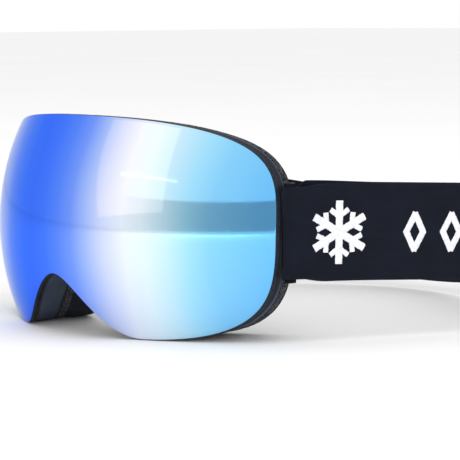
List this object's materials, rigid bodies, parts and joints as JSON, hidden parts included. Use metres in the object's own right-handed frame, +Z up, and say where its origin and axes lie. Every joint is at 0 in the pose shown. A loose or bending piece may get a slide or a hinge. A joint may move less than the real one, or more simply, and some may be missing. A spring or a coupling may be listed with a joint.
{
  "type": "ski goggles",
  "caption": "Frameless ski goggles with a spherical mirrored lens held by magnets, three-layer face foam and a wide elastic head strap with a slider on each side.",
  "frame": {"origin": "middle of the face opening, level with the back of the foam on the plane of symmetry", "axes": "-Y the way the wearer looks, +X towards the wearer's left, +Z up"},
  "size_m": [0.243, 0.2262, 0.0919],
  "materials": {
    "mirror_lens": "blue multilayer mirror on polycarbonate",
    "clear_lens": "clear acetate with an anti-fog coat",
    "spacer_foam": "closed-cell foam",
    "hard_plastic": "satin moulded nylon",
    "soft_frame": "matte soft-touch urethane",
    "magnet": "nickel plate",
    "pin_steel": "blackened drawn steel",
    "vent_foam": "open-cell foam",
    "coarse_foam": "coarse open-cell foam",
    "face_foam": "fine open-cell foam",
    "fleece": "brushed microfleece",
    "strap_webbing": "woven elastic",
    "embroidery": "satin-stitched thread",
    "silicone": "clear silicone beads"
  },
  "bodies": {
    "frame": {"frame_rim": "hard_plastic", "frame_wall": "soft_frame", "face_flange": "soft_frame", "magnet_seats": "hard_plastic", "frame_magnets": "magnet", "top_vent_foam": "vent_foam", "left_vent_foam": "vent_foam", "right_vent_foam": "vent_foam", "foam_base": "coarse_foam", "foam_mid": "face_foam", "fleece_liner": "fleece", "left_strap_anchor": "hard_plastic", "right_strap_anchor": "hard_plastic", "left_anchor_pin": "pin_steel", "right_anchor_pin": "pin_steel", "strap_band": "strap_webbing", "left_strap_return": "strap_webbing", "right_strap_return": "strap_webbing", "grip_lines": "silicone", "left_embroidery": "embroidery", "right_embroidery": "embroidery"},
    "lens": {"outer_lens": "mirror_lens", "inner_lens": "clear_lens", "lens_gasket": "spacer_foam", "lens_carrier": "hard_plastic", "lens_magnets": "magnet"},
    "slider_left": {"left_slider": "hard_plastic", "left_end_loop": "strap_webbing"},
    "slider_right": {"right_slider": "hard_plastic", "right_end_loop": "strap_webbing"}
  },
  "joints": [
    {"name": "lens_release", "type": "slide", "parent": "frame", "child": "lens", "axis": [0, -1, 0], "range_m": [0, 0.07]},
    {"name": "left_slider", "type": "slide", "parent": "frame", "child": "slider_left", "axis": [-0.8577, 0.4952, -0.1386], "range_m": [0, 0.026]},
    {"name": "right_slider", "type": "slide", "parent": "frame", "child": "slider_right", "axis": [0.8577, 0.4952, -0.1386], "range_m": [0, 0.026]}
  ]
}
